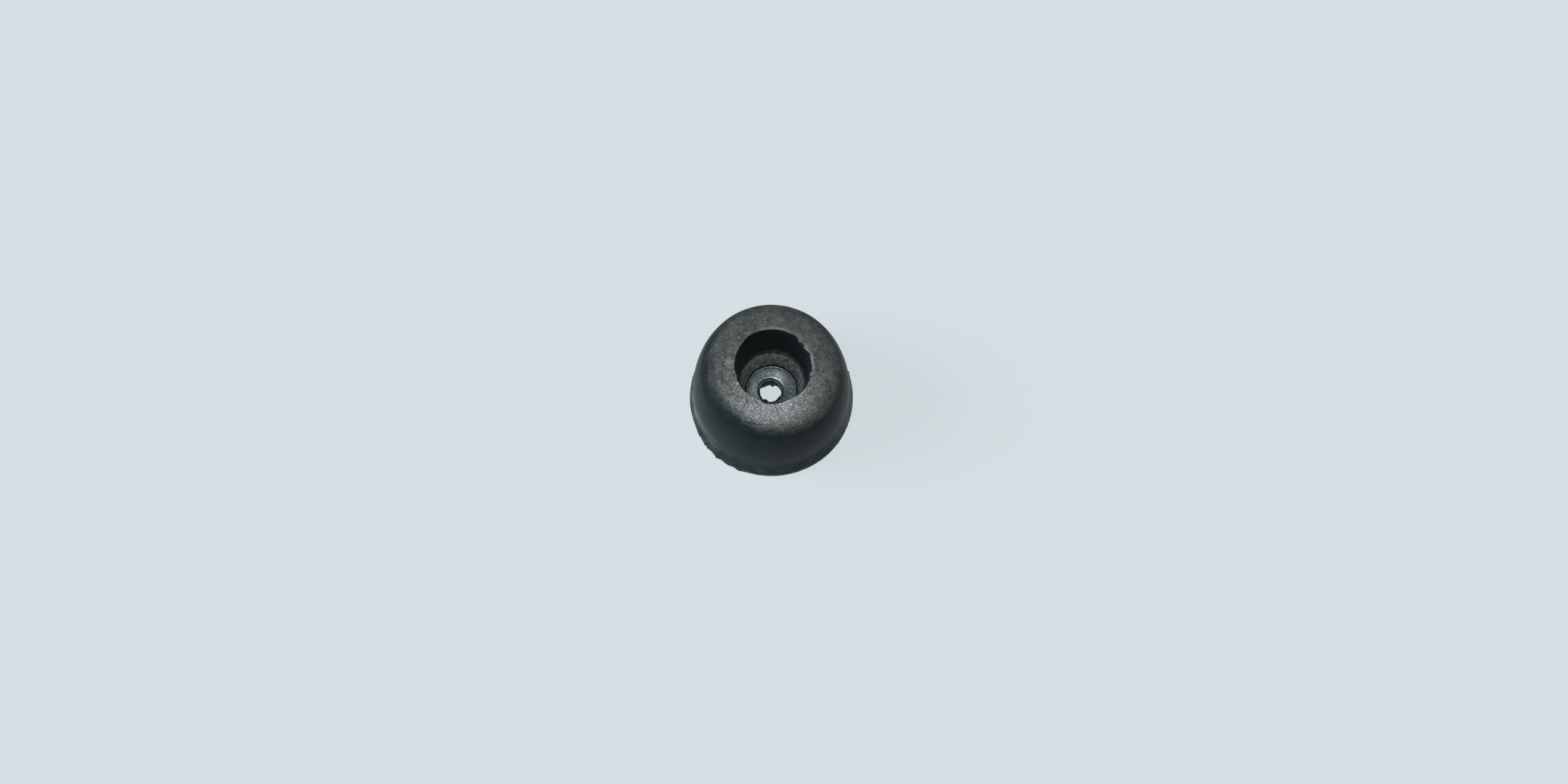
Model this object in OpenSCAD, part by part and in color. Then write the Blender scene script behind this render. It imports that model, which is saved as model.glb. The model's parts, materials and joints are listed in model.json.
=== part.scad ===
// Screw-on rubber foot with a steel washer moulded into the floor of its recess.
// It stands on its wide mounting face, with the recess open upwards.
// The origin is the centre of the mounting face, and the screw's axis is +Z.

/* [Lip and side] */
// Diameter of the wide mounting face, over the lip
base_d = 38; // [35:0.5:46]
// Height from the mounting face to the tread face
foot_h = 22; // [19:0.5:30]
// Height of the lip's upright edge
lip_h = 1.5; // [0.8:0.1:2.5]
// How far the lip stands out past the side
lip_out = 1; // [0.5:0.1:1.5]
// Radius of the hollow fillet that runs the lip into the side
lip_fillet_r = 3.5; // [2:0.5:6]

/* [Tread end] */
// Outer diameter of the flat tread face
tread_d = 21.6; // [19:0.2:24]
// Radius of the round shoulder between the tread face and the side
shoulder_r = 5; // [3:0.25:6]

/* [Recess] */
// Diameter of the recess at the tread face
mouth_d = 16.7; // [15:0.1:18]
// Diameter of the recess at the ledge where its wall turns steeper
ledge_d = 14.8; // [13.6:0.1:15]
// Height of the ledge above the washer
ledge_rise = 5.6; // [4:0.2:7]
// Clearance around the washer, none where the rubber is moulded on to it
seat_clearance = 0; // [0:0.05:0.2]

/* [Screw hole] */
// Thickness of the rubber web that the screw clamps
web_h = 3; // [2:0.25:5]
// Diameter of the hole through the web
screw_hole_d = 5; // [3:0.1:5.5]

/* [Washer] */
// Outer diameter of the washer
washer_d = 12; // [10:0.5:13]
// Diameter of the washer's bore
washer_bore_d = 5.5; // [5.1:0.1:7]
// Thickness of the washer
washer_t = 1.6; // [1:0.1:2]
// Radius of the rolled edges on the washer's upper face, round its outside and round its bore
washer_edge_r = 0.4; // [0.1:0.05:0.6]

/* [Hidden] */
$fn = 240;

// Length by which a cutting profile passes the face that it opens
through = 1;
// Arcs that run on smoothly into one another overlap by this much, so that they cross cleanly
lap = 0.002;

// Lip and its fillet, and the shoulder, which is no rounder than the side leaves room for
side_r = base_d / 2 - lip_out;
fillet_top_z = lip_h + sqrt(2 * lip_fillet_r * lip_out - lip_out ^ 2);
tread_r = tread_d / 2;
shoulder_fit_r = min(shoulder_r, 0.9 * (side_r - tread_r));
shoulder_z = foot_h - shoulder_fit_r;

// Side: a crowned arc that is upright at the top of the fillet and tangent to the shoulder
crown_in = side_r + lap - tread_r;
crown_h = shoulder_z - fillet_top_z;
inner_r = shoulder_fit_r - lap;
crown_r = (crown_in ^ 2 + crown_h ^ 2 - inner_r ^ 2) / (2 * (crown_in - inner_r));
meet_z = fillet_top_z + crown_h * crown_r / (crown_r - inner_r);

// Recess
seat_r = washer_d / 2 + seat_clearance;
washer_top_z = web_h + washer_t;
ledge_z = washer_top_z + ledge_rise;
draft_out = through * (mouth_d - ledge_d) / 2 / (foot_h - ledge_z);

// Slice of a profile's half plane between two heights
module slice(low_z, high_z) {
    translate([0, low_z])
        square([base_d / 2, high_z - low_z]);
}

// Lip, cut back by its hollow fillet
module lip_profile() {
    difference() {
        slice(0, fillet_top_z);
        translate([side_r + lip_fillet_r, fillet_top_z])
            circle(r = lip_fillet_r);
    }
}

// Crowned side, from inside the lip up to where it meets the shoulder
module side_profile() {
    intersection() {
        slice(lip_h, meet_z);
        translate([tread_r + crown_in - crown_r, fillet_top_z])
            circle(r = crown_r);
    }
}

// Round shoulder and flat tread face
module tread_profile() {
    intersection() {
        slice(shoulder_z, foot_h);
        union() {
            square([tread_r, foot_h]);
            translate([tread_r, shoulder_z])
                circle(r = shoulder_fit_r);
        }
    }
}

// Recess: tapered from the mouth to the ledge, steeper to the washer, then straight round it
module recess_profile() {
    polygon([
        [0, web_h],
        [seat_r, web_h],
        [seat_r, washer_top_z],
        [ledge_d / 2, ledge_z],
        [mouth_d / 2, foot_h],
        [mouth_d / 2 + draft_out, foot_h + through],
        [0, foot_h + through]
    ]);
}

module screw_hole_profile() {
    translate([0, -through])
        square([screw_hole_d / 2, web_h + 2 * through]);
}

module rubber_body() {
    color([0.16, 0.18, 0.19])
        rotate_extrude()
            difference() {
                union() {
                    lip_profile();
                    side_profile();
                    tread_profile();
                }
                recess_profile();
                screw_hole_profile();
            }
}

// Stamped washer: square edges below, and rolled edges inside and outside its upper face
module steel_washer() {
    bore_r = washer_bore_d / 2;
    ring_w = washer_d / 2 - bore_r;
    color([0.38, 0.43, 0.45])
        translate([0, 0, web_h])
            rotate_extrude()
                translate([bore_r, 0]) {
                    square([ring_w, washer_t - washer_edge_r]);
                    translate([washer_edge_r, 0])
                        square([ring_w - 2 * washer_edge_r, washer_t]);
                    for (x = [washer_edge_r, ring_w - washer_edge_r])
                        translate([x, washer_t - washer_edge_r])
                            circle(r = washer_edge_r);
                }
}

rubber_body();
steel_washer();
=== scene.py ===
"""A worn rubber foot with a steel washer in its recess, standing on its mounting face."""
import json
import math

import bmesh
import bpy
from mathutils import Matrix, Quaternion, Vector, noise


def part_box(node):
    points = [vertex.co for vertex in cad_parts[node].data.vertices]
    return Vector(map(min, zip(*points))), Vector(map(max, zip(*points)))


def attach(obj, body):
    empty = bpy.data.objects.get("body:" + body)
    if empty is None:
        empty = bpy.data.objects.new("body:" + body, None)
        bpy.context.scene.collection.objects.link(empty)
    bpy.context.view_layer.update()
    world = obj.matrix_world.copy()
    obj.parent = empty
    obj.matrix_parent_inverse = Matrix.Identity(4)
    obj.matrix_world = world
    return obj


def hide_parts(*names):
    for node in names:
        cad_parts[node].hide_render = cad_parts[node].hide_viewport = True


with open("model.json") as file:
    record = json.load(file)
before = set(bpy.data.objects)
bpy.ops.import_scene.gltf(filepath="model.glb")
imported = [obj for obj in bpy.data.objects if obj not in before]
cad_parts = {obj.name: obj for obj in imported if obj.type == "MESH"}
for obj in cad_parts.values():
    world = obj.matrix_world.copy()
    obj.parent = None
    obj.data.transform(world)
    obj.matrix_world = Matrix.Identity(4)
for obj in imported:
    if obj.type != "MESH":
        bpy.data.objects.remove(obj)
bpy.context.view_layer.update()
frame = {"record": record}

MM = 0.001

# ---------------------------------------------------------------- sizes, in millimetres

BODY_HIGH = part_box("rubber_body")[1] / MM
WASHER_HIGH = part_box("steel_washer")[1] / MM
BORES = {mount["name"]: mount["dims"] for mount in frame["record"]["mounts"] if mount["kind"] == "bore"}

BASE_R = BODY_HIGH.x
FOOT_H = BODY_HIGH.z
WEB_H = BORES["screw_hole"]["length_mm"]
HOLE_R = BORES["screw_hole"]["r_mm"]
WASHER_R = WASHER_HIGH.x
WASHER_TOP = WASHER_HIGH.z
WASHER_BORE_R = BORES["washer_bore"]["r_mm"]

LIP_H = 1.5
LIP_OUT = 1.0
LIP_FILLET_R = 3.5
TREAD_R = 10.8
SHOULDER_R = 5.0
MOUTH_R = 8.35
LEDGE_R = 7.4
LEDGE_RISE = 5.6

LEDGE_Z = WASHER_TOP + LEDGE_RISE
# The washer's seat starts past the rounded edge of the hole
SEAT_INNER_R = HOLE_R + 0.4
SIDE_R = BASE_R - LIP_OUT
FILLET_TOP_Z = LIP_H + math.sqrt(2 * LIP_FILLET_R * LIP_OUT - LIP_OUT ** 2)
SHOULDER_Z = FOOT_H - SHOULDER_R
CROWN_IN = SIDE_R - TREAD_R
CROWN_H = SHOULDER_Z - FILLET_TOP_Z
CROWN_R = (CROWN_IN ** 2 + CROWN_H ** 2 - SHOULDER_R ** 2) / (2 * (CROWN_IN - SHOULDER_R))
MEET_ANGLE = math.asin(CROWN_H / (CROWN_R - SHOULDER_R))


# ---------------------------------------------------------------- small helpers


def polar(point):
    """Radius, azimuth in degrees from the front towards +X, and height."""
    return math.hypot(point.x, point.y), math.degrees(math.atan2(point.x, -point.y)), point.z


def outward(point):
    """The level direction from the axis to a point."""
    return Vector((point.x, point.y, 0.0)).normalized()


def flat_point(azimuth, radius):
    """A point seen from above, at an azimuth and a radius."""
    return Vector((math.sin(math.radians(azimuth)), -math.cos(math.radians(azimuth)))) * radius


def ramp(value, low, high):
    """0 below low, 1 above high, and smooth between them. With low above high it falls instead."""
    t = min(max((value - low) / (high - low), 0.0), 1.0)
    return t * t * (3 - 2 * t)


def humps(azimuth, listed):
    """Sum of smooth humps, each with its azimuth, half width in degrees, and height."""
    total = 0.0
    for centre, width, height in listed:
        away = abs((azimuth - centre + 180) % 360 - 180)
        if away < width:
            total += height * ramp(away, width, 0.0)
    return total


def line_to(bm, vert, r, z):
    """Adds a straight stretch of a section, from vert to radius r and height z."""
    end = bm.verts.new((r, 0.0, z))
    bm.edges.new((vert, end))
    return end


def arc_to(bm, vert, centre_r, centre_z, angle, steps):
    """Adds an arc of a section, from vert round a centre. A positive angle turns up towards out."""
    swept = bmesh.ops.spin(
        bm, geom=[vert], cent=(centre_r, 0.0, centre_z), axis=(0.0, 1.0, 0.0), angle=angle, steps=steps
    )
    return swept["geom_last"][0]


def round_corner(bm, vert, offset):
    """Rounds a corner of a section."""
    bmesh.ops.bevel(
        bm, geom=[vert], offset=offset, offset_type="OFFSET", segments=3, profile=0.5,
        affect="VERTICES", material=-1,
    )


def divide(bm, spacing):
    """Splits each stretch of a section to the spacing that a function gives for its middle."""
    for edge in list(bm.edges):
        middle = (edge.verts[0].co + edge.verts[1].co) / 2
        cuts = math.ceil(edge.calc_length() / spacing(middle)) - 1
        if cuts > 0:
            bmesh.ops.subdivide_edges(bm, edges=[edge], cuts=cuts)


def revolve(bm, steps, doublings=5):
    """Spins a section through a wedge, then copies and turns the wedge until it goes all the way round."""
    angle = math.tau / 2 ** doublings
    bmesh.ops.spin(
        bm, geom=bm.verts[:] + bm.edges[:], cent=(0.0, 0.0, 0.0), axis=(0.0, 0.0, 1.0),
        angle=angle, steps=steps // 2 ** doublings,
    )
    for _ in range(doublings):
        copied = bmesh.ops.duplicate(bm, geom=bm.verts[:] + bm.edges[:] + bm.faces[:])["geom"]
        moved = [part for part in copied if isinstance(part, bmesh.types.BMVert)]
        bmesh.ops.rotate(bm, cent=(0.0, 0.0, 0.0), matrix=Matrix.Rotation(angle, 3, "Z"), verts=moved)
        angle *= 2
    bmesh.ops.remove_doubles(bm, verts=bm.verts, dist=0.001)
    bmesh.ops.recalc_face_normals(bm, faces=bm.faces)
    bm.normal_update()


def finished(name, bm, material, node):
    """Makes the piece that stands for a CAD node, in metres, and lets it ride on the root body."""
    bmesh.ops.scale(bm, vec=(MM, MM, MM), verts=bm.verts)
    mesh = bpy.data.meshes.new(name)
    bm.to_mesh(mesh)
    bm.free()
    mesh.materials.append(material)
    mesh.shade_smooth()
    piece = bpy.data.objects.new(name, mesh)
    bpy.context.collection.objects.link(piece)
    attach(piece, "root")
    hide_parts(node)


# ---------------------------------------------------------------- rubber body

# How far the core that made the recess and the hole stood off the axis
MOUTH_SHIFT = Vector((0.43, 0.0, 0.0))
SEAT_SHIFT = Vector((0.02, 0.33, 0.0))
HOLE_SHIFT = Vector((-0.17, 0.38, 0.0))
# Width of the ring round the hole that is moved and torn with it
HOLE_RIM_W = 0.8
# How far the lip has spread all round
LIP_SPREAD = 0.1

# Each flaw has its azimuth from the front towards +X, its half width in degrees, and its reach or strength
LIP_FINS = [
    (-61, 7, 0.2), (-53, 6, 0.36), (-47, 5, 0.2), (-41, 5, 0.46), (-33, 6, 0.28), (-23, 6, 0.3),
    (-106, 12, 0.22), (108, 1.8, 0.5), (95, 45, 0.12), (52, 32, 0.1),
]
MOUTH_FLAWS = [
    (2, 28, 0.35), (-148, 30, 0.22), (-75, 9, -0.25), (76, 5, -0.4), (100, 15, -0.12), (119, 10, -0.6),
    (133, 11, -0.55), (158, 12, -0.08), (-12, 8, 0.3), (50, 32, 0.2),
]
WALL_STREAKS = [(110, 60, 1.0), (-110, 40, 0.6)]
MOUTH_TEETH = [(108, 45, 0.16), (-75, 30, 0.05)]
HOLE_RAGS = [
    (171, 13, 0.38), (140, 28, -0.2), (112, 20, -0.12), (-34, 9, 0.3), (-24, 13, 0.3), (48, 26, 0.26),
    (-122, 26, -0.42), (-49, 7, -0.1),
]

# Cracks in the tread: azimuth and radius of both ends, and depth
CRACKS = [
    ((3.0, 8.6), (9.0, 11.8), 0.2),
    ((-32.5, 9.3), (-32.0, 12.7), 0.13),
    ((-32.5, 9.4), (-41.0, 8.3), 0.1),
    ((-36.0, 9.2), (-48.0, 9.8), 0.08),
    ((-47.0, 9.8), (-60.0, 12.2), 0.08),
    ((-26.0, 8.6), (-12.0, 9.5), 0.11),
    ((-10.0, 13.2), (-28.0, 13.7), 0.08),
    ((-11.0, 13.2), (3.0, 12.9), 0.08),
    ((50.0, 9.9), (56.0, 11.1), 0.08),
]
CRACK_HALF_W = 0.07
# Half width of the strip along a crack where the mesh is made finer
CRACK_ZONE = 0.2
# How dark a crack gets, and the depth at which it does: painted shade, darker the deeper the crack
CRACK_DARK = 0.9
FULL_DARK_DEPTH = 0.1


def rubber_section():
    """The rubber's section, from the screw hole through the recess and down the outside."""
    bm = bmesh.new()
    start = bm.verts.new((HOLE_R, 0.0, 0.0))
    web = line_to(bm, start, HOLE_R, WEB_H)
    floor = line_to(bm, web, WASHER_R, WEB_H)
    seat = line_to(bm, floor, WASHER_R, WASHER_TOP)
    ledge = line_to(bm, seat, LEDGE_R, LEDGE_Z)
    mouth = line_to(bm, ledge, MOUTH_R, FOOT_H)
    tread = line_to(bm, mouth, TREAD_R, FOOT_H)
    shoulder = arc_to(bm, tread, TREAD_R, SHOULDER_Z, math.pi / 2 - MEET_ANGLE, 32)
    side = arc_to(bm, shoulder, SIDE_R - CROWN_R, FILLET_TOP_Z, MEET_ANGLE, 22)
    fillet_angle = math.asin((FILLET_TOP_Z - LIP_H) / LIP_FILLET_R)
    lip = arc_to(bm, side, SIDE_R + LIP_FILLET_R, FILLET_TOP_Z, -fillet_angle, 9)
    heel = line_to(bm, lip, BASE_R, 0.0)
    bm.edges.new((heel, start))
    for corner, offset in ((web, 0.2), (ledge, 0.35), (mouth, 0.14), (lip, 0.2), (heel, 0.06)):
        round_corner(bm, corner, offset)
    return bm


# Steps of the mesh round the axis, and its spacing along the section
BODY_STEPS = 480
UNDERSIDE_STEP = 2.4
UNDER_WASHER_STEP = 0.8
CONE_STEP = 0.28
WALL_STEP = 0.5
TREAD_STEP = 0.14
SIDE_STEP = 0.6
LIP_STEP = 0.25


def section_spacing(middle):
    """Finer where the skin is grainy or ragged, and coarse where nothing shows."""
    r, _, z = polar(middle)
    if z < 0.05:
        return UNDERSIDE_STEP
    if z > FOOT_H - 0.1:
        return TREAD_STEP
    if WEB_H - 0.1 < z < WASHER_TOP and SEAT_INNER_R < r < WASHER_R + 0.1:
        return UNDER_WASHER_STEP
    if r < SIDE_R - 1 and z < SHOULDER_Z:
        return CONE_STEP if z < LEDGE_Z + 0.5 else WALL_STEP
    return SIDE_STEP if z > FILLET_TOP_Z else LIP_STEP


def way_out(r, z):
    """Distance over the skin from the recess's edge outwards, over the tread and round the shoulder."""
    if r < TREAD_R:
        return r - MOUTH_R
    return TREAD_R - MOUTH_R + SHOULDER_R * math.atan2(r - TREAD_R, z - SHOULDER_Z)


# How far the end of the wear strays at random
WEAR_STRAY = 0.8
# How far past the recess's edge the wear ends, and how softly
WEAR_REACH = 4.7
WEAR_SOFTNESS = 2.1
# Changes to these two round the foot: azimuth, half width in degrees, and change
REACH_CHANGES = [(175, 110, 1.2), (60, 115, 2.7), (-120, 50, 0.4), (-50, 60, -0.3)]
SOFTNESS_CHANGES = [(170, 110, 1.7), (55, 80, 0.6)]


def recess_wear_at(z):
    """Wear inside the recess: most on the cone from the ledge to the washer, and some above the ledge."""
    grey = 0.65 * ramp(z, LEDGE_Z - 0.1, LEDGE_Z - 1.0) + 0.35 * ramp(z, LEDGE_Z + 3.0, LEDGE_Z)
    return grey * ramp(z, WASHER_TOP - 0.9, WASHER_TOP + 1.1)


def wear_at(point):
    """How far the moulded skin is worn to a grey grain: 1 on the tread, and 0 on the side."""
    r, azimuth, z = polar(point)
    if r < MOUTH_R - 0.02 and z < FOOT_H - 0.02:
        return recess_wear_at(z + 0.3 * noise.noise(point * 0.7))
    if z < SHOULDER_Z:
        return 0.0
    reach = WEAR_REACH + humps(azimuth, REACH_CHANGES) + WEAR_STRAY * noise.noise(point * 0.5)
    softness = WEAR_SOFTNESS + humps(azimuth, SOFTNESS_CHANGES)
    return ramp(way_out(r, z), reach + softness, reach - softness)


# How bright the middle of the tread's front is rubbed, partly real wear and partly a painted highlight
# where the key light shines back
FRONT_RUB_AND_HIGHLIGHT = 0.84
# Where the grain is rubbed brighter still: azimuth, half width in degrees, and how much
CONE_RUB = [(-110, 60, 0.25), (88, 45, 0.35)]
TREAD_RUB = [(-95, 7, 0.35), (-100, 50, 0.14), (10, 30, 0.25)]
# Bright along the recess's torn edge: partly wear, partly a painted highlight where the edge catches the
# light
TORN_EDGE_RUB_AND_HIGHLIGHT = [
    (8, 22, 1.0), (-14, 12, 0.6), (45, 14, 0.4), (175, 40, 0.45), (-163, 8, 0.3), (100, 45, 0.5),
    (-62, 4, 0.9),
]


def rub_and_highlight_at(point):
    """How bright the grain is rubbed and painted lit: most of all on the front of the tread, partly a
    painted highlight there, and on the recess's cone, lighter towards the ledge.
    """
    r, azimuth, z = polar(point)
    if z < SHOULDER_Z:
        high = ramp(z, WASHER_TOP + 0.4, LEDGE_Z - 1.2)
        return 0.35 + 0.45 * high + humps(azimuth, CONE_RUB) + 0.8 * noise.noise(point * 1.1)
    way = way_out(r, z)
    front = 0.5 + 0.5 * math.cos(math.radians(azimuth - 2))
    spots = humps(azimuth, TREAD_RUB) * ramp(way, 2.4, 1.0)
    spots += humps(azimuth, TORN_EDGE_RUB_AND_HIGHLIGHT) * ramp(way, 0.8, 0.2)
    return FRONT_RUB_AND_HIGHLIGHT * front ** 4 * ramp(way, 7.0, 2.0) + spots + 0.2 * noise.noise(point)


# How pale the skin has gone everywhere, in the recess and along the lip
SKIN_BLOOM = 0.04
RECESS_BLOOM = 0.028
LIP_BLOOM = 0.07
# Where the lip and the foot of the side are paler still, a painted sheen where light grazes both sides:
# azimuth, half width in degrees, and how much
LIP_PAINTED_SHEEN = [(-110, 75, 0.2), (95, 60, 0.42)]
FOOT_PAINTED_SHEEN = [(-85, 58, 0.48), (100, 40, 0.23)]


def bloom_and_sheen_at(point):
    """How pale the skin has gone with bloom, with a painted sheen added along the lip and low on both
    sides.
    """
    r, azimuth, z = polar(point)
    if z < 0.1:
        return 0.0
    if r < MOUTH_R:
        return RECESS_BLOOM
    uneven = 1.0 + 0.6 * noise.noise(point * 0.5)
    lip = (LIP_BLOOM + humps(azimuth, LIP_PAINTED_SHEEN)) * ramp(z, FILLET_TOP_Z + 2.5, LIP_H + 0.8)
    foot = humps(azimuth, FOOT_PAINTED_SHEEN) * ramp(z, 1.8, 3.5) * ramp(z, 10.0, 5.0)
    return SKIN_BLOOM + (lip + foot) * uneven


# How far the tread is worn down at its outer edge, and the heights of the skin's grain and unevenness
TREAD_WORN = 0.21
GRAIN_H = 0.03
UNEVEN_H = 0.03


def crown_tread(bm):
    """Wears the tread down outwards, so that it leans a little to the shoulder."""
    for vert in bm.verts:
        r, _, z = polar(vert.co)
        if z > SHOULDER_Z:
            worn = TREAD_WORN * ramp(r, MOUTH_R - 0.6, TREAD_R + 1.2)
            vert.co.z -= worn * ramp(z, SHOULDER_Z, FOOT_H - 1.5)


def shift_recess(vert):
    """Streaks the recess's wall, moves the recess off the axis, and tears its edge."""
    r, azimuth, z = polar(vert.co)
    streak = 0.1 * humps(azimuth, WALL_STREAKS) * noise.noise(Vector((azimuth * 0.3, z * 0.6, 9.0)))
    streaked = outward(vert.co) * streak * ramp(z, LEDGE_Z - 0.5, LEDGE_Z + 1.0)
    vert.co += streaked * ramp(r, MOUTH_R + 0.2, MOUTH_R)
    vert.co += SEAT_SHIFT * ramp(z, LEDGE_Z, WASHER_TOP)
    lean = ramp(z, WASHER_TOP, FOOT_H) * ramp(r, TREAD_R, MOUTH_R)
    near_edge = ramp(z, FOOT_H - 3.0, FOOT_H) * ramp(r, MOUTH_R + 0.7, MOUTH_R)
    teeth = 0.09 + humps(azimuth, MOUTH_TEETH)
    torn = humps(azimuth, MOUTH_FLAWS) + teeth * noise.noise(Vector((azimuth * 0.45, z * 1.5, 3.0)))
    vert.co += MOUTH_SHIFT * lean + outward(vert.co) * torn * near_edge


def shift_hole(vert, dark_layer):
    """Moves the screw hole off the axis, tears it, and darkens its wall and the ring round it with painted
    shade.
    """
    r, azimuth, z = polar(vert.co)
    near_hole = ramp(r, HOLE_R + HOLE_RIM_W, HOLE_R)
    torn = humps(azimuth, HOLE_RAGS)
    torn += 0.1 * noise.noise(Vector((azimuth * 0.1, z * 0.9, 7.0)))
    vert.co += (HOLE_SHIFT - outward(vert.co) * torn) * near_hole
    # Painted shade inside the screw hole
    vert[dark_layer] = near_hole


def shift_core(bm):
    """Moves the recess, the washer's seat and the screw hole off the axis, and tears their edges."""
    dark_layer = bm.verts.layers.float["dark"]
    for vert in bm.verts:
        r, _, z = polar(vert.co)
        if z > WASHER_TOP and r < TREAD_R:
            shift_recess(vert)
        elif z > WEB_H - 0.01 and SEAT_INNER_R < r < LEDGE_R:
            vert.co += SEAT_SHIFT
        elif z < WEB_H + 0.1 and r < HOLE_R + HOLE_RIM_W:
            shift_hole(vert, dark_layer)


def fin_lip(bm):
    """Leaves the thin ragged fins that the mould's joint squeezed out along the lip's lower edge."""
    for vert in bm.verts:
        r, azimuth, z = polar(vert.co)
        if r > SIDE_R and z < LIP_H:
            ragged = 0.8 + 0.7 * noise.noise(Vector((azimuth * 0.55, 0.0, 1.0)))
            fin = humps(azimuth, LIP_FINS) * ragged * ramp(z, LIP_H * 0.7, 0.15)
            fin += LIP_SPREAD + 0.04 * noise.noise(Vector((azimuth * 0.25, z, 5.0)))
            vert.co += outward(vert.co) * fin


def roughen(bm):
    """Gives the worn faces their grain, and all faces but the underside a slow unevenness."""
    wear_layer = bm.verts.layers.float["wear"]
    for vert in bm.verts:
        if vert.co.z > 0.02:
            grain = noise.fractal(vert.co * 3.6, 0.7, 2.0, 3)
            slow = noise.noise(vert.co * 0.4) * ramp(vert.co.z, 0.0, 1.0)
            vert.co += vert.normal * (GRAIN_H * vert[wear_layer] * grain + UNEVEN_H * slow)


def crack_at(point):
    """Distance to the nearest crack's line seen from above, and how deep that crack is there."""
    nearest, depth_there = math.inf, 0.0
    for start, end, depth in CRACKS:
        a, b = flat_point(*start), flat_point(*end)
        t = min(max((point.xy - a).dot(b - a) / (b - a).length_squared, 0.0), 1.0)
        sideways = Vector((a.y - b.y, b.x - a.x)).normalized()
        wobble = 0.16 * noise.noise(Vector((t * 4, start[0], 0.5)))
        away = (point.xy - a.lerp(b, t) - sideways * wobble).length
        if away < nearest:
            nearest, depth_there = away, depth * ramp(t, 1.0, 0.6)
    return nearest, depth_there


def crack_tread(bm):
    """Cuts the cracks into the tread, on faces that are made finer along them, and darkens them with
    painted shade.
    """
    dark_layer = bm.verts.layers.float["dark"]
    for vert in bm.verts:
        if vert.co.z > FOOT_H - 2 and vert.co.xy.length > MOUTH_R and crack_at(vert.co)[0] < CRACK_ZONE:
            vert[dark_layer] = 1.0
    near = [
        edge for edge in bm.edges
        if any(vert.co.z > WEB_H and vert[dark_layer] > 0 for vert in edge.verts)
    ]
    bmesh.ops.subdivide_edges(bm, edges=near, cuts=1, use_grid_fill=True)
    bm.normal_update()
    for vert in bm.verts:
        if vert.co.z > FOOT_H - 3 and vert[dark_layer] > 0:
            away, depth = crack_at(vert.co)
            cut = depth * ramp(away, CRACK_HALF_W, 0.02)
            vert[dark_layer] = min(cut / FULL_DARK_DEPTH, CRACK_DARK)
            vert.co -= vert.normal * cut


def rubber_body():
    """The moulded body: a revolved section, then its looks as layers, and then its wear and flaws."""
    bm = rubber_section()
    divide(bm, section_spacing)
    revolve(bm, BODY_STEPS)
    looks = {"wear": wear_at, "rub": rub_and_highlight_at, "bloom": bloom_and_sheen_at}
    for name in (*looks, "dark"):
        bm.verts.layers.float.new(name)
    for name, look_at in looks.items():
        layer = bm.verts.layers.float[name]
        for vert in bm.verts:
            vert[layer] = look_at(vert.co)
    roughen(bm)
    crown_tread(bm)
    shift_core(bm)
    fin_lip(bm)
    crack_tread(bm)
    finished("moulded_rubber_body", bm, moulded_rubber(), "rubber_body")


# ---------------------------------------------------------------- steel washer

WASHER_STEPS = 256
WASHER_EDGE_R = 0.35
BORE_EDGE_R = 0.45
# How far the bore stands off the middle of the washer
BORE_SHIFT = Vector((-0.35, -0.13, 0.0))
DISH_R = 5.3
DISH_DEPTH = 0.17
RIM_GROOVE_R = 5.45
RIM_GROOVE_HALF_W = 0.16
RIM_GROOVE_DEPTH = 0.05
WASHER_UNEVEN_H = 0.015
# The washer sinks by this much for each millimetre away from here towards -X
WASHER_SLOPE = 0.02
WASHER_LEVEL_X = 3.3
# Where the dull plating is rubbed brighter, and where a painted highlight falls on it: azimuth, half width
# in degrees, and how much
WASHER_POLISH_AND_HIGHLIGHT = [(-80, 60, 0.85), (150, 34, 0.65), (180, 60, 0.1), (115, 40, 0.2)]
BORE_POLISH_AND_HIGHLIGHT = [(138, 34, 1.2), (-80, 34, 0.9)]


def washer_section():
    """The washer's section, from its lower bore edge over the rolled upper edges to its heel."""
    bm = bmesh.new()
    bore = bm.verts.new((WASHER_BORE_R, 0.0, WEB_H))
    bore_top = line_to(bm, bore, WASHER_BORE_R, WASHER_TOP - BORE_EDGE_R)
    flat_start = arc_to(
        bm, bore_top, WASHER_BORE_R + BORE_EDGE_R, WASHER_TOP - BORE_EDGE_R, math.pi / 2, 8
    )
    edge = line_to(bm, flat_start, WASHER_R - WASHER_EDGE_R, WASHER_TOP)
    rim = arc_to(bm, edge, WASHER_R - WASHER_EDGE_R, WASHER_TOP - WASHER_EDGE_R, math.pi / 2, 8)
    heel = line_to(bm, rim, WASHER_R, WEB_H)
    bm.edges.new((heel, bore))
    return bm


def polish_and_highlight_at(point):
    """How bright the plating is rubbed and painted lit: on the upper face in scratches, partly a painted
    highlight, and evenly on the upright ones, which is painted light.
    """
    r, azimuth, z = polar(point)
    bore_edge = ramp(abs(r - WASHER_BORE_R - BORE_EDGE_R), 0.3, 0.05)
    scratches = 1.0 + noise.noise(Vector((azimuth * 0.06, r * 5.0, 1.0)))
    scratches += noise.noise(Vector((azimuth * 0.35, r * 4.0, 4.0)))
    polish = humps(azimuth, WASHER_POLISH_AND_HIGHLIGHT) * ramp(r, 5.5, 3.3) + humps(azimuth, BORE_POLISH_AND_HIGHLIGHT) * bore_edge
    return max(polish * scratches, 0.8 * ramp(z, WASHER_TOP - 0.3, WASHER_TOP - 0.6))


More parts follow.
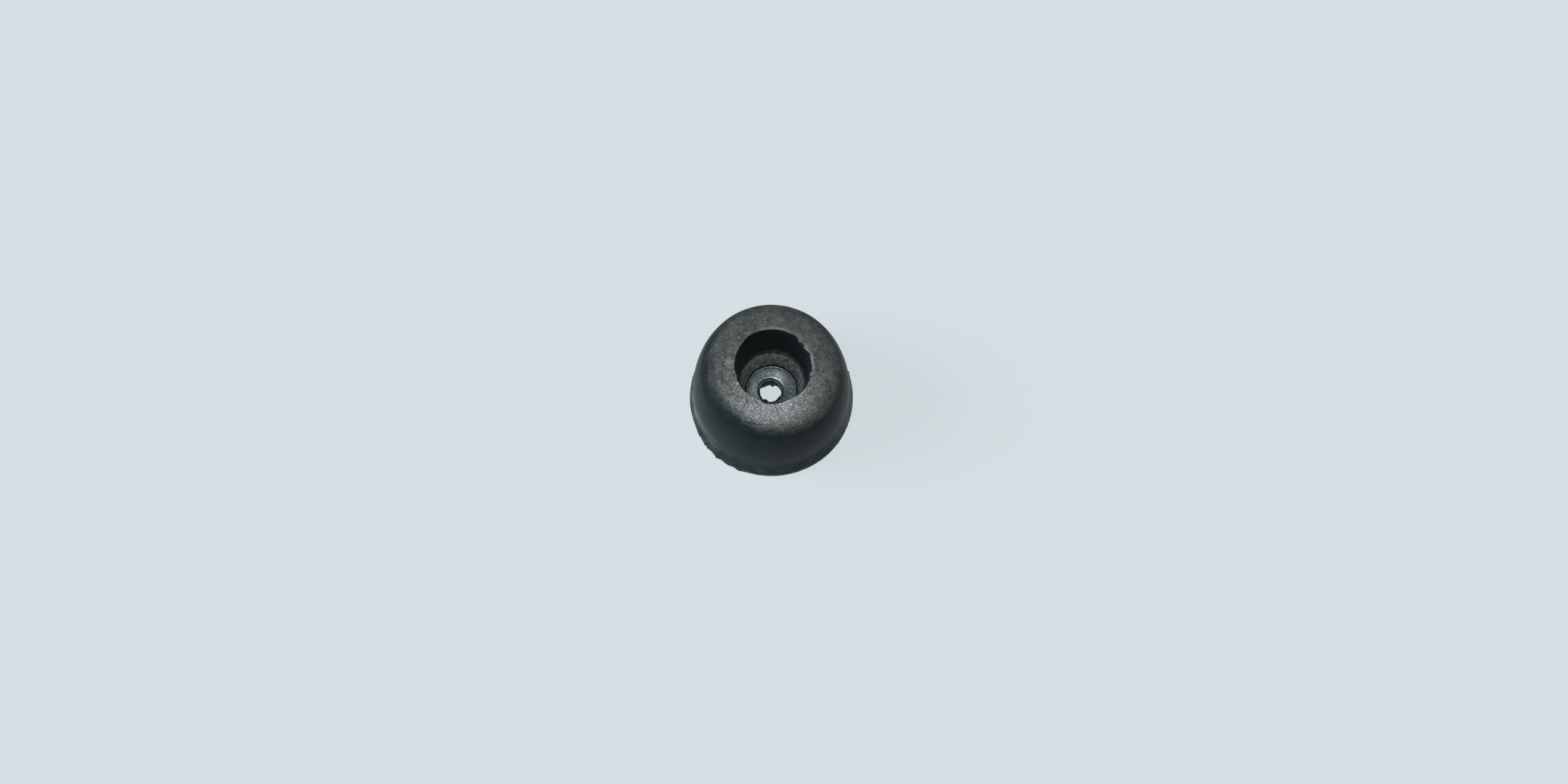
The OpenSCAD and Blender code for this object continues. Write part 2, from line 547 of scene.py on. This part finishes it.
def steel_washer():
    """A stamped washer: a rolled rim, a shallow groove inside it, and a dish down to the rolled bore."""
    bm = washer_section()
    divide(bm, lambda middle: 0.1 if middle.z > WASHER_TOP - 0.4 else 0.5)
    revolve(bm, WASHER_STEPS)
    polish_and_highlight_layer = bm.verts.layers.float.new("polish")
    for vert in bm.verts:
        r, _, z = polar(vert.co)
        vert[polish_and_highlight_layer] = polish_and_highlight_at(vert.co)
        vert.co += SEAT_SHIFT + BORE_SHIFT * ramp(r, WASHER_R - 0.8, WASHER_BORE_R)
        if z > WEB_H + 0.1:
            groove = RIM_GROOVE_DEPTH * ramp(abs(r - RIM_GROOVE_R), RIM_GROOVE_HALF_W, 0.0)
            dish = DISH_DEPTH * max((DISH_R - r) / (DISH_R - WASHER_BORE_R), 0.0) ** 1.6
            uneven = WASHER_UNEVEN_H * noise.noise(vert.co * 1.1)
            vert.co.z += WASHER_SLOPE * (vert.co.x - WASHER_LEVEL_X) - groove - dish + uneven
    finished("stamped_steel_washer", bm, dull_steel(), "steel_washer")


# ---------------------------------------------------------------- materials

# Colours, as sRGB hex codes
SKIN_DARK = "091114"
SKIN_LIGHT = "162327"
# Pale colour of the bloom and of the painted sheen
BLOOM_AND_SHEEN_PALE = "768485"
DUST_GREY = "333a39"
DUST_BROWN = "51504c"
# The rubbed colours below are also a painted highlight where the tread's front is lit
DUST_RUBBED_AND_LIT = "777a7b"
GRIT_DULL = "6c6c68"
GRIT_RUBBED_AND_LIT = "d6d9da"
PIT_DARK = "2b3031"
GLINT_DULL = "706f69"
GLINT_RUBBED = "dbdedf"
# Painted shade in the cracks and in the screw hole
CRACK_BLACK = "0d0f10"
SHEEN_TINT = "dcebf0"

STEEL_DARK = "1f2628"
STEEL_LIGHT = "4c5557"
# The polished colour is also a painted highlight
STEEL_POLISHED_AND_LIT = "7a8183"
SPECK_PALE = "a3aaa9"

LAMINATE = "c8cece"
LAMINATE_GLOW = "d5e0e5"


def colour(code):
    """Turns an sRGB hex colour, such as "2e3639", to linear red, green, blue and alpha."""
    channels = [int(code[i:i + 2], 16) / 255 for i in (0, 2, 4)]
    return [c / 12.92 if c <= 0.04045 else ((c + 0.055) / 1.055) ** 2.4 for c in channels] + [1.0]


def new_tree(owner):
    """Empties the node tree of a new material or world."""
    owner.use_nodes = True
    owner.node_tree.nodes.clear()
    return owner.node_tree


def add(tree, kind, inputs=None, output=0, **settings):
    """Adds a shader node with its inputs and settings, and returns one of its outputs."""
    made = tree.nodes.new("ShaderNode" + kind)
    for name, value in settings.items():
        setattr(made, name, value)
    for socket, value in (inputs or {}).items():
        if isinstance(value, bpy.types.NodeSocket):
            tree.links.new(value, made.inputs[socket])
        else:
            made.inputs[socket].default_value = value
    return made.outputs[output] if made.outputs else None


def millimetres(tree):
    """The place on a piece, in millimetres."""
    place = add(tree, "TexCoord", output="Object")
    return add(tree, "Mapping", {"Vector": place, "Scale": (1 / MM, 1 / MM, 1 / MM)})


def carried(tree, name):
    """The value that each point of a piece carries in a layer."""
    return add(tree, "Attribute", output="Fac", attribute_name=name)


def cloud(tree, place, width, detail, roughness=0.5):
    """Fractal noise from 0 to 1, with its largest spots about as wide as given."""
    inputs = {"Vector": place, "Scale": 1 / width, "Detail": detail, "Roughness": roughness}
    return add(tree, "TexNoise", inputs)


def cells(tree, place, width):
    """A random colour for each of many small cells, about as wide as given."""
    return add(tree, "TexVoronoi", {"Vector": place, "Scale": 1 / width}, 1)


def span(tree, value, low, high, to_low=0.0, to_high=1.0):
    """Carries the range from low to high over to another range, and holds the value inside it."""
    inputs = {"Value": value, "From Min": low, "From Max": high, "To Min": to_low, "To Max": to_high}
    return add(tree, "MapRange", inputs)


def mix(tree, share, base, top):
    """Covers a base colour with another by a share. Each is a socket or a hex code."""
    base, top = (colour(one) if isinstance(one, str) else one for one in (base, top))
    return add(tree, "Mix", {0: share, 6: base, 7: top}, 2, data_type="RGBA")


def rubber_skin(tree, place):
    """Blue-black skin: patches a few millimetres wide, faint level bands that the mould left, and bloom
    with a painted sheen.
    """
    patch = span(tree, cloud(tree, place, width=2.6, detail=4.0, roughness=0.6), 0.35, 0.65)
    level = add(tree, "Mapping", {"Vector": place, "Scale": (0.25, 0.25, 1.0)})
    band = cloud(tree, level, width=0.7, detail=4.0, roughness=0.65)
    mottle = add(tree, "Math", {0: patch, 1: band}, operation="MULTIPLY")
    streak = span(tree, band, 0.42, 0.72, to_low=0.75, to_high=1.4)
    # Paler with bloom, and with a painted sheen along the lip and low on the sides
    bloom = add(tree, "Math", {0: carried(tree, "bloom"), 1: streak}, operation="MULTIPLY")
    return mix(tree, bloom, mix(tree, mottle, SKIN_DARK, SKIN_LIGHT), BLOOM_AND_SHEEN_PALE)


def rubber_grain(tree, place, rub, grit):
    """Grit in dust, both dull brown-grey and turning to silver where they are rubbed, which on the tread's
    front is partly a painted highlight.
    """
    stain = span(tree, cloud(tree, place, width=1.9, detail=3.0), 0.35, 0.65)
    dust = mix(tree, rub, mix(tree, stain, DUST_GREY, DUST_BROWN), DUST_RUBBED_AND_LIT)
    light = mix(tree, rub, GRIT_DULL, GRIT_RUBBED_AND_LIT)
    grain = mix(tree, span(tree, grit, 0.5, 0.72), dust, light)
    grain = mix(tree, span(tree, grit, 0.46, 0.34), grain, PIT_DARK)

    # Single bright grains with a painted glint, more of them and brighter where the rubber is rubbed and
    # painted lit
    fleck = cells(tree, place, width=0.22)
    fleck = add(tree, "Math", {0: rub, 1: 0.04, 2: fleck}, operation="MULTIPLY_ADD")
    glint = mix(tree, rub, GLINT_DULL, GLINT_RUBBED)
    return mix(tree, span(tree, fleck, 0.89, 0.97), grain, glint)


def moulded_rubber():
    """Black moulded rubber, with a smooth skin that the tread's wear has turned to a grey grain."""
    material = bpy.data.materials.new("worn_moulded_rubber")
    tree = new_tree(material)
    place = millimetres(tree)
    grit = cloud(tree, place, width=0.25, detail=4.0, roughness=0.7)

    # The edge of the wear breaks up into the grit
    broken = add(tree, "Math", {0: grit, 1: 0.5}, operation="SUBTRACT")
    broken = add(tree, "Math", {0: broken, 1: 0.8, 2: carried(tree, "wear")}, operation="MULTIPLY_ADD")
    worn = span(tree, broken, 0.15, 0.9)
    # The rub layer also carries a painted highlight on the tread's front
    grain = rubber_grain(tree, place, carried(tree, "rub"), grit)
    finish = mix(tree, worn, rubber_skin(tree, place), grain)
    # Painted shade in the cracks and in the screw hole
    finish = mix(tree, carried(tree, "dark"), finish, CRACK_BLACK)

    relief = cloud(tree, place, width=0.22, detail=2.0)
    strength = span(tree, worn, 0.0, 1.0, to_low=0.15)
    facets = add(tree, "Bump", {"Height": relief, "Strength": strength, "Distance": 0.038 * MM})
    shader = add(tree, "BsdfPrincipled", {
        "Base Color": finish,
        "Roughness": 0.38,
        "Specular IOR Level": 0.035,
        "Sheen Weight": 0.03,
        "Sheen Roughness": 0.2,
        "Sheen Tint": colour(SHEEN_TINT),
        "Normal": facets,
    })
    add(tree, "OutputMaterial", {"Surface": shader})
    return material


def dull_steel():
    """Plated steel gone dull: a soft blue-grey shine, stained, with pale specks of corrosion and dust."""
    material = bpy.data.materials.new("dull_plated_steel")
    tree = new_tree(material)
    place = millimetres(tree)
    stain = span(tree, cloud(tree, place, width=0.7, detail=5.0, roughness=0.7), 0.3, 0.7)
    # Brighter where rubbed and where a painted highlight falls
    metal = mix(tree, carried(tree, "polish"), mix(tree, stain, STEEL_DARK, STEEL_LIGHT), STEEL_POLISHED_AND_LIT)
    speck = span(tree, cells(tree, place, width=0.16), 0.76, 0.97, to_high=0.45)
    metal = mix(tree, speck, metal, SPECK_PALE)
    facets = add(tree, "Bump", {
        "Height": cloud(tree, place, width=0.3, detail=4.0),
        "Strength": 0.9,
        "Distance": 0.045 * MM,
    })
    shader = add(tree, "BsdfPrincipled", {
        "Base Color": metal,
        "Metallic": 0.75,
        "Roughness": 0.42,
        "Normal": facets,
    })
    add(tree, "OutputMaterial", {"Surface": shader})
    return material


def pale_laminate():
    """A plain matt laminate, slightly blue. The camera sees it partly by its own glow, so it stays even."""
    material = bpy.data.materials.new("pale_laminate")
    tree = new_tree(material)
    shader = add(tree, "BsdfPrincipled", {
        "Base Color": colour(LAMINATE),
        "Roughness": 0.9,
        "Specular IOR Level": 0.03,
    })
    glow = add(tree, "Emission", {"Color": colour(LAMINATE_GLOW)})
    seen = add(tree, "LightPath", output="Is Camera Ray")
    share = add(tree, "Math", {0: seen, 1: 0.7}, operation="MULTIPLY")
    add(tree, "OutputMaterial", {"Surface": add(tree, "MixShader", {0: share, 1: shader, 2: glow})})
    return material


# ---------------------------------------------------------------- stage, lights and camera

SURROUNDINGS = "d5e2e8"
# Share of the surroundings' brightness that lights dull faces, where the camera and reflections get it all
SURROUNDINGS_LIGHT = 0.25
FLOOR_R = 2000.0

CAMERA_ELEVATION = 72.05
CAMERA_DISTANCE = 222.4
CAMERA_AIM = Vector((2.97, 1.21, 0.0))
CAMERA_ROLL = 2.07
CLIP_START = 10.0
SENSOR_WIDTH = 36.0
LENS = 21.667


def stage():
    """A round floor that reaches well past the view."""
    bm = bmesh.new()
    bmesh.ops.create_circle(bm, cap_ends=True, segments=96, radius=FLOOR_R * MM)
    mesh = bpy.data.meshes.new("floor")
    bm.to_mesh(mesh)
    bm.free()
    mesh.materials.append(pale_laminate())
    floor = bpy.data.objects.new("floor", mesh)
    bpy.context.collection.objects.link(floor)


def sun(name, towards, strength, spread, tint):
    """A far light that comes from the direction of a point, and looks as wide as spread, in degrees."""
    data = bpy.data.lights.new(name, "SUN")
    data.energy = strength
    data.angle = math.radians(spread)
    data.color = colour(tint)[:3]
    made = bpy.data.objects.new(name, data)
    made.rotation_mode = "QUATERNION"
    made.rotation_quaternion = Vector(towards).to_track_quat("Z", "Y")
    bpy.context.collection.objects.link(made)


def lights():
    """A key from above the front, a broad cool light from low on the left, and pale surroundings."""
    sun("key", (-0.056, -0.156, 0.986), strength=0.74 * math.pi, spread=7, tint="ffffff")
    sun("left_fill", (-0.9, 0.02, 0.38), strength=0.84 * math.pi, spread=40, tint="e9f3f8")
    world = bpy.data.worlds.new("pale_surroundings")
    tree = new_tree(world)
    seen = add(tree, "LightPath", output="Is Camera Ray")
    for ray in ("Is Glossy Ray", "Is Transmission Ray"):
        also_seen = add(tree, "LightPath", output=ray)
        seen = add(tree, "Math", {0: seen, 1: also_seen}, operation="MAXIMUM")
    strength = span(tree, seen, 0.0, 1.0, to_low=SURROUNDINGS_LIGHT)
    shine = add(tree, "Background", {"Color": colour(SURROUNDINGS), "Strength": strength})
    add(tree, "OutputWorld", {"Surface": shine})
    bpy.context.scene.world = world


def camera():
    """The camera, above the front and rolled a little."""
    data = bpy.data.cameras.new("camera")
    data.sensor_width = SENSOR_WIDTH
    data.lens = LENS
    data.clip_start = CLIP_START * MM
    made = bpy.data.objects.new("camera", data)
    elevation = math.radians(CAMERA_ELEVATION)
    place = Vector((0.0, -math.cos(elevation), math.sin(elevation))) * CAMERA_DISTANCE
    made.location = place * MM
    made.rotation_mode = "QUATERNION"
    look = (CAMERA_AIM - place).to_track_quat("-Z", "Y")
    made.rotation_quaternion = look @ Quaternion((0.0, 0.0, 1.0), math.radians(CAMERA_ROLL))
    bpy.context.collection.objects.link(made)
    bpy.context.scene.camera = made


camera()
rubber_body()
steel_washer()
stage()
lights()

bpy.context.scene.view_settings.view_transform = "Standard"

bpy.context.view_layer.update()
